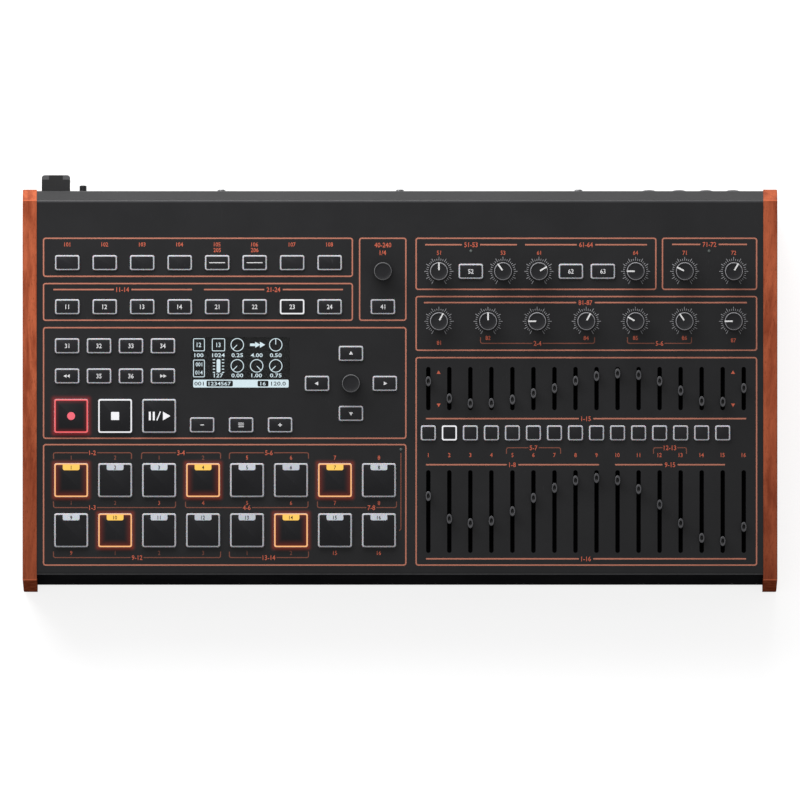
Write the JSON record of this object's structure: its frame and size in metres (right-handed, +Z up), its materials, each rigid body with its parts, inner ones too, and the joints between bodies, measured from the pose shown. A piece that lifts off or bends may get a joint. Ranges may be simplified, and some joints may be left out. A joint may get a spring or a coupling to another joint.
{
  "type": "drum machine",
  "caption": "Desktop drum machine with a sloping black panel between wooden cheeks: lit pads, keys, knobs, sliders and a small display.",
  "frame": {"origin": "on the table under the middle of the machine's bounding box", "axes": "+X to the player's right, +Y to the rear, +Z up"},
  "size_m": [0.4982, 0.267, 0.0995],
  "materials": {
    "panel_paint": "matt black powder coat",
    "base_paint": "matt black powder coat",
    "cheek_wood": "oiled reddish hardwood, grain front to back",
    "foot_rubber": "matt black",
    "screw_steel": "zinc plated",
    "board_green": "green solder mask",
    "display_black": "dark glass display",
    "window_clear": "clear polished window",
    "control_metal": "stamped steel control bodies",
    "switch_plastic": "black moulded switches",
    "socket_metal": "nickel plated nuts and bushes",
    "socket_plastic": "black moulded sockets",
    "hook_plastic": "black moulded hook",
    "key_plastic": "dark cap with a translucent rim",
    "pad_rubber": "dark soft pad with a lit translucent rim",
    "knob_plastic": "black knob, white pointer",
    "slider_plastic": "dark grey slider caps"
  },
  "bodies": {
    "case": {"top_panel": "panel_paint", "base_pan": "base_paint", "left_cheek": "cheek_wood", "right_cheek": "cheek_wood", "rubber_feet": "foot_rubber", "screws_and_studs": "screw_steel", "control_board": "board_green", "main_board": "board_green", "display_module": "display_black", "display_window": "window_clear", "potentiometers": "control_metal", "switches_and_lamps": "switch_plastic", "phone_jacks": "socket_metal", "data_sockets": "socket_plastic", "cord_hook": "hook_plastic"},
    "function_keys": {"function_keys": "key_plastic"},
    "edit_keys": {"edit_keys": "key_plastic"},
    "parameter_keys": {"parameter_keys": "key_plastic"},
    "cursor_keys": {"cursor_keys": "key_plastic"},
    "section_keys": {"section_keys": "key_plastic"},
    "voice_keys": {"voice_keys": "key_plastic"},
    "pads_1_to_8": {"pads_1_to_8": "pad_rubber"},
    "pads_9_to_16": {"pads_9_to_16": "pad_rubber"},
    "transport_keys": {"transport_keys": "pad_rubber"},
    "power_button": {"power_button": "key_plastic"},
    "upper_knob_1": {"upper_knob_1": "knob_plastic"},
    "upper_knob_2": {"upper_knob_2": "knob_plastic"},
    "upper_knob_3": {"upper_knob_3": "knob_plastic"},
    "upper_knob_4": {"upper_knob_4": "knob_plastic"},
    "upper_knob_5": {"upper_knob_5": "knob_plastic"},
    "upper_knob_6": {"upper_knob_6": "knob_plastic"},
    "tune_knob_1": {"tune_knob_1": "knob_plastic"},
    "tune_knob_2": {"tune_knob_2": "knob_plastic"},
    "tune_knob_3": {"tune_knob_3": "knob_plastic"},
    "tune_knob_4": {"tune_knob_4": "knob_plastic"},
    "tune_knob_5": {"tune_knob_5": "knob_plastic"},
    "tune_knob_6": {"tune_knob_6": "knob_plastic"},
    "tune_knob_7": {"tune_knob_7": "knob_plastic"},
    "tempo_wheel": {"tempo_wheel": "knob_plastic"},
    "data_wheel": {"data_wheel": "knob_plastic"},
    "level_fader_01": {"level_fader_01": "slider_plastic"},
    "level_fader_02": {"level_fader_02": "slider_plastic"},
    "level_fader_03": {"level_fader_03": "slider_plastic"},
    "level_fader_04": {"level_fader_04": "slider_plastic"},
    "level_fader_05": {"level_fader_05": "slider_plastic"},
    "level_fader_06": {"level_fader_06": "slider_plastic"},
    "level_fader_07": {"level_fader_07": "slider_plastic"},
    "level_fader_08": {"level_fader_08": "slider_plastic"},
    "level_fader_09": {"level_fader_09": "slider_plastic"},
    "level_fader_10": {"level_fader_10": "slider_plastic"},
    "level_fader_11": {"level_fader_11": "slider_plastic"},
    "level_fader_12": {"level_fader_12": "slider_plastic"},
    "level_fader_13": {"level_fader_13": "slider_plastic"},
    "level_fader_14": {"level_fader_14": "slider_plastic"},
    "level_fader_15": {"level_fader_15": "slider_plastic"},
    "level_fader_16": {"level_fader_16": "slider_plastic"},
    "pan_sliders_far_left": {"pan_sliders_far_left": "slider_plastic"},
    "pan_sliders_centre": {"pan_sliders_centre": "slider_plastic"},
    "pan_sliders_right": {"pan_sliders_right": "slider_plastic"},
    "pan_sliders_far_right": {"pan_sliders_far_right": "slider_plastic"}
  },
  "joints": [
    {"name": "function_keys_press", "type": "slide", "parent": "case", "child": "function_keys", "axis": [0, 0.1564, -0.9877], "range_m": [0, 0.0008], "stiffness_N_per_m": 400, "springref_m": -0.002},
    {"name": "edit_keys_press", "type": "slide", "parent": "case", "child": "edit_keys", "axis": [0, 0.1564, -0.9877], "range_m": [0, 0.0008], "stiffness_N_per_m": 400, "springref_m": -0.002},
    {"name": "parameter_keys_press", "type": "slide", "parent": "case", "child": "parameter_keys", "axis": [0, 0.1564, -0.9877], "range_m": [0, 0.0008], "stiffness_N_per_m": 400, "springref_m": -0.002},
    {"name": "cursor_keys_press", "type": "slide", "parent": "case", "child": "cursor_keys", "axis": [0, 0.1564, -0.9877], "range_m": [0, 0.0008], "stiffness_N_per_m": 400, "springref_m": -0.002},
    {"name": "section_keys_press", "type": "slide", "parent": "case", "child": "section_keys", "axis": [0, 0.1564, -0.9877], "range_m": [0, 0.0008], "stiffness_N_per_m": 400, "springref_m": -0.002},
    {"name": "voice_keys_press", "type": "slide", "parent": "case", "child": "voice_keys", "axis": [0, 0.1564, -0.9877], "range_m": [0, 0.0008], "stiffness_N_per_m": 400, "springref_m": -0.002},
    {"name": "pads_1_to_8_press", "type": "slide", "parent": "case", "child": "pads_1_to_8", "axis": [0, 0.1564, -0.9877], "range_m": [0, 0.001], "stiffness_N_per_m": 600, "springref_m": -0.002},
    {"name": "pads_9_to_16_press", "type": "slide", "parent": "case", "child": "pads_9_to_16", "axis": [0, 0.1564, -0.9877], "range_m": [0, 0.001], "stiffness_N_per_m": 600, "springref_m": -0.002},
    {"name": "transport_keys_press", "type": "slide", "parent": "case", "child": "transport_keys", "axis": [0, 0.1564, -0.9877], "range_m": [0, 0.001], "stiffness_N_per_m": 600, "springref_m": -0.002},
    {"name": "power_button_press", "type": "slide", "parent": "case", "child": "power_button", "axis": [0, -1, 0], "range_m": [0, 0.002], "stiffness_N_per_m": 400, "springref_m": -0.002},
    {"name": "upper_knob_1_turn", "type": "hinge", "parent": "case", "child": "upper_knob_1", "pos_m": [0.02568, 0.06786, 0.08531], "axis": [0, -0.1564, 0.9877], "range_deg": [-150, 150]},
    {"name": "upper_knob_2_turn", "type": "hinge", "parent": "case", "child": "upper_knob_2", "pos_m": [0.06794, 0.06786, 0.08531], "axis": [0, -0.1564, 0.9877], "range_deg": [-185, 115]},
    {"name": "upper_knob_3_turn", "type": "hinge", "parent": "case", "child": "upper_knob_3", "pos_m": [0.09172, 0.06786, 0.08531], "axis": [0, -0.1564, 0.9877], "range_deg": [-90, 210]},
    {"name": "upper_knob_4_turn", "type": "hinge", "parent": "case", "child": "upper_knob_4", "pos_m": [0.15547, 0.06786, 0.08531], "axis": [0, -0.1564, 0.9877], "range_deg": [-240, 60]},
    {"name": "upper_knob_5_turn", "type": "hinge", "parent": "case", "child": "upper_knob_5", "pos_m": [0.18784, 0.06786, 0.08531], "axis": [0, -0.1564, 0.9877], "range_deg": [-212, 88]},
    {"name": "upper_knob_6_turn", "type": "hinge", "parent": "case", "child": "upper_knob_6", "pos_m": [0.22022, 0.06786, 0.08531], "axis": [0, -0.1564, 0.9877], "range_deg": [-120, 180]},
    {"name": "tune_knob_1_turn", "type": "hinge", "parent": "case", "child": "tune_knob_1", "pos_m": [0.02568, 0.03528, 0.08014], "axis": [0, -0.1564, 0.9877], "range_deg": [-122, 178]},
    {"name": "tune_knob_2_turn", "type": "hinge", "parent": "case", "child": "tune_knob_2", "pos_m": [0.05808, 0.03528, 0.08014], "axis": [0, -0.1564, 0.9877], "range_deg": [-150, 150]},
    {"name": "tune_knob_3_turn", "type": "hinge", "parent": "case", "child": "tune_knob_3", "pos_m": [0.09048, 0.03528, 0.08014], "axis": [0, -0.1564, 0.9877], "range_deg": [-240, 60]},
    {"name": "tune_knob_4_turn", "type": "hinge", "parent": "case", "child": "tune_knob_4", "pos_m": [0.12289, 0.03528, 0.08014], "axis": [0, -0.1564, 0.9877], "range_deg": [-122, 178]},
    {"name": "tune_knob_5_turn", "type": "hinge", "parent": "case", "child": "tune_knob_5", "pos_m": [0.15529, 0.03528, 0.08014], "axis": [0, -0.1564, 0.9877], "range_deg": [-210, 90]},
    {"name": "tune_knob_6_turn", "type": "hinge", "parent": "case", "child": "tune_knob_6", "pos_m": [0.18769, 0.03528, 0.08014], "axis": [0, -0.1564, 0.9877], "range_deg": [-183, 117]},
    {"name": "tune_knob_7_turn", "type": "hinge", "parent": "case", "child": "tune_knob_7", "pos_m": [0.2201, 0.03528, 0.08014], "axis": [0, -0.1564, 0.9877], "range_deg": [-240, 60]},
    {"name": "tempo_wheel_turn", "type": "hinge", "parent": "case", "child": "tempo_wheel", "pos_m": [-0.01129, 0.06786, 0.08531], "axis": [0, -0.1564, 0.9877], "continuous": true},
    {"name": "data_wheel_turn", "type": "hinge", "parent": "case", "child": "data_wheel", "pos_m": [-0.03237, -0.00519, 0.07373], "axis": [0, -0.1564, 0.9877], "continuous": true},
    {"name": "level_fader_01_slide", "type": "slide", "parent": "case", "child": "level_fader_01", "axis": [0, 0.9877, 0.1564], "range_m": [-0.0327, 0.0123]},
    {"name": "level_fader_02_slide", "type": "slide", "parent": "case", "child": "level_fader_02", "axis": [0, 0.9877, 0.1564], "range_m": [-0.0177, 0.0273]},
    {"name": "level_fader_03_slide", "type": "slide", "parent": "case", "child": "level_fader_03", "axis": [0, 0.9877, 0.1564], "range_m": [-0.0148, 0.0302]},
    {"name": "level_fader_04_slide", "type": "slide", "parent": "case", "child": "level_fader_04", "axis": [0, 0.9877, 0.1564], "range_m": [-0.0164, 0.0286]},
    {"name": "level_fader_05_slide", "type": "slide", "parent": "case", "child": "level_fader_05", "axis": [0, 0.9877, 0.1564], "range_m": [-0.0227, 0.0223]},
    {"name": "level_fader_06_slide", "type": "slide", "parent": "case", "child": "level_fader_06", "axis": [0, 0.9877, 0.1564], "range_m": [-0.0315, 0.0135]},
    {"name": "level_fader_07_slide", "type": "slide", "parent": "case", "child": "level_fader_07", "axis": [0, 0.9877, 0.1564], "range_m": [-0.0381, 0.0069]},
    {"name": "level_fader_08_slide", "type": "slide", "parent": "case", "child": "level_fader_08", "axis": [0, 0.9877, 0.1564], "range_m": [-0.043, 0.002]},
    {"name": "level_fader_09_slide", "type": "slide", "parent": "case", "child": "level_fader_09", "axis": [0, 0.9877, 0.1564], "range_m": [-0.0446, 0.0004]},
    {"name": "level_fader_10_slide", "type": "slide", "parent": "case", "child": "level_fader_10", "axis": [0, 0.9877, 0.1564], "range_m": [-0.0431, 0.0019]},
    {"name": "level_fader_11_slide", "type": "slide", "parent": "case", "child": "level_fader_11", "axis": [0, 0.9877, 0.1564], "range_m": [-0.0373, 0.0077]},
    {"name": "level_fader_12_slide", "type": "slide", "parent": "case", "child": "level_fader_12", "axis": [0, 0.9877, 0.1564], "range_m": [-0.0271, 0.0179]},
    {"name": "level_fader_13_slide", "type": "slide", "parent": "case", "child": "level_fader_13", "axis": [0, 0.9877, 0.1564], "range_m": [-0.0148, 0.0302]},
    {"name": "level_fader_14_slide", "type": "slide", "parent": "case", "child": "level_fader_14", "axis": [0, 0.9877, 0.1564], "range_m": [-0.0051, 0.0399]},
    {"name": "level_fader_15_slide", "type": "slide", "parent": "case", "child": "level_fader_15", "axis": [0, 0.9877, 0.1564], "range_m": [-0.003, 0.042]},
    {"name": "level_fader_16_slide", "type": "slide", "parent": "case", "child": "level_fader_16", "axis": [0, 0.9877, 0.1564], "range_m": [-0.0124, 0.0326]},
    {"name": "pan_sliders_far_left_slide", "type": "slide", "parent": "case", "child": "pan_sliders_far_left", "axis": [0, 0.9877, 0.1564], "range_m": [-0.0002, 0.0165]},
    {"name": "pan_sliders_centre_slide", "type": "slide", "parent": "case", "child": "pan_sliders_centre", "axis": [0, 0.9877, 0.1564], "range_m": [-0.0069, 0.0097]},
    {"name": "pan_sliders_right_slide", "type": "slide", "parent": "case", "child": "pan_sliders_right", "axis": [0, 0.9877, 0.1564], "range_m": [-0.0148, 0.0049]},
    {"name": "pan_sliders_far_right_slide", "type": "slide", "parent": "case", "child": "pan_sliders_far_right", "axis": [0, 0.9877, 0.1564], "range_m": [-0.0182, 0.0001]}
  ]
}
